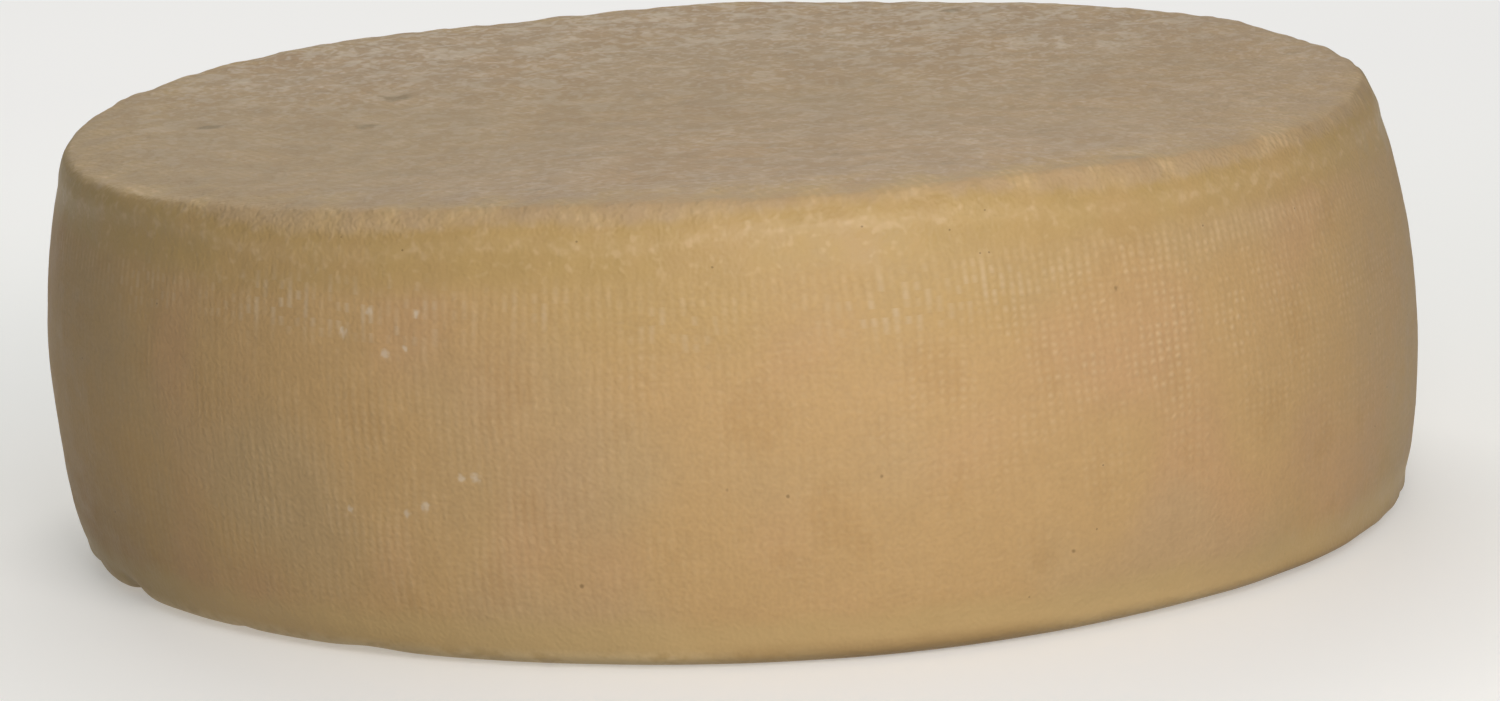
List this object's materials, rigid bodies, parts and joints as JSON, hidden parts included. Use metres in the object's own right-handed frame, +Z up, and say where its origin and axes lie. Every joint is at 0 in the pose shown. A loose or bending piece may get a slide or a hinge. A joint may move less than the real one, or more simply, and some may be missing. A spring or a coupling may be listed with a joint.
{
  "type": "cheese wheel",
  "caption": "Whole uncut wheel of pressed cheese with a bulging side, a rounded uneven shoulder and a cloth-marked rind, resting on its flat underside.",
  "frame": {"origin": "middle of the underside's outline, on the surface that the wheel rests on", "axes": "+Z up along the wheel's axis; +X across the wheel to the right as seen from the front; the front faces -Y"},
  "size_m": [0.3308, 0.3294, 0.1026],
  "materials": {
    "rind": "dry, slightly waxy pressed rind, golden tan on the side and greyer on top, with the fine grid of the press cloth"
  },
  "bodies": {
    "root": {"cheese_wheel": "rind"}
  },
  "joints": []
}
